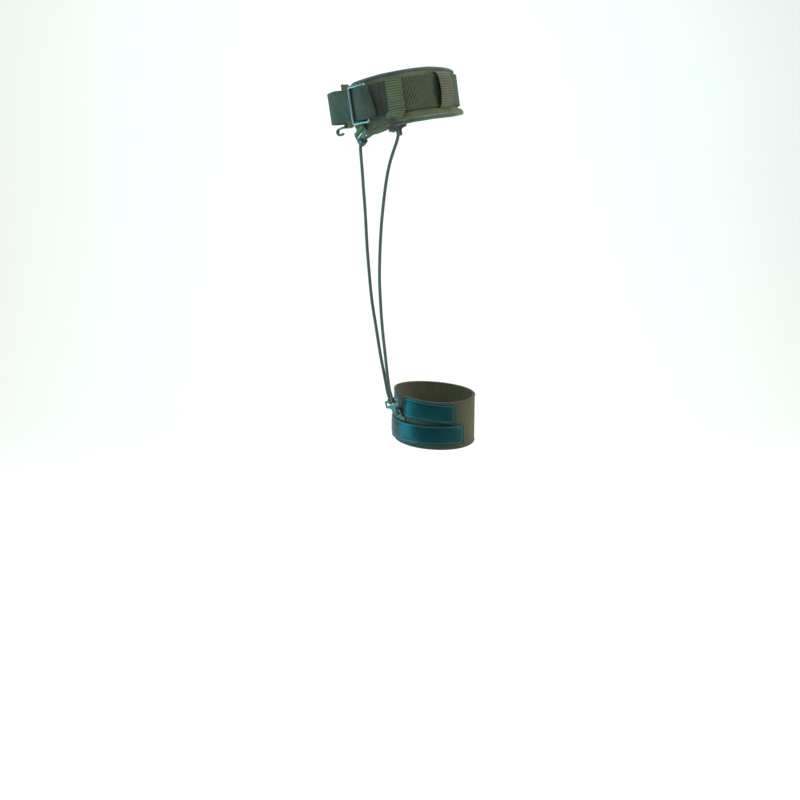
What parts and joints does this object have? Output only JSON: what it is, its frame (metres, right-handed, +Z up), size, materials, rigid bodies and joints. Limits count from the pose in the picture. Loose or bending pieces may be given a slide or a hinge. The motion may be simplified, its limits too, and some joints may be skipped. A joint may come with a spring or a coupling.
{
  "type": "hip orthosis",
  "caption": "Padded waist belt with webbing hook loops, an elastic cord down the front of one thigh and a strapped thigh cuff.",
  "frame": {"origin": "middle of the waist opening, at the height of the belt's middle line", "axes": "+Z up along the wearer, -X to the wearer's front, -Y to the wearer's left, where the cord and the cuff hang"},
  "size_m": [0.2472, 0.3567, 0.6026],
  "materials": {
    "foam_fabric": "matt laminated foam",
    "binding_tape": "woven edge tape",
    "webbing": "ribbed webbing",
    "moulded_plastic": "satin moulded plastic",
    "braided_cord": "braided sheath",
    "synthetic_leather": "soft gloss",
    "ribbed_elastic": "ribbed elastic"
  },
  "bodies": {
    "root": {"waist_pad": "foam_fabric", "pad_binding": "binding_tape", "waist_belt": "webbing", "belt_ring": "moulded_plastic", "back_loop_left": "webbing", "back_loop_right": "webbing", "hook_loop_1": "webbing", "hook_loop_2": "webbing", "hook_loop_3": "webbing", "hook_loop_4": "webbing", "cord_hook_1": "moulded_plastic", "cord_hook_2": "moulded_plastic", "cord_hook_3": "moulded_plastic", "cord_hook_4": "moulded_plastic", "elastic_cord": "braided_cord", "cuff_band": "ribbed_elastic", "cuff_strap_upper": "synthetic_leather", "cuff_strap_lower": "synthetic_leather", "cuff_hook": "moulded_plastic", "cord_knot": "braided_cord", "cuff_tab": "webbing"}
  },
  "joints": []
}
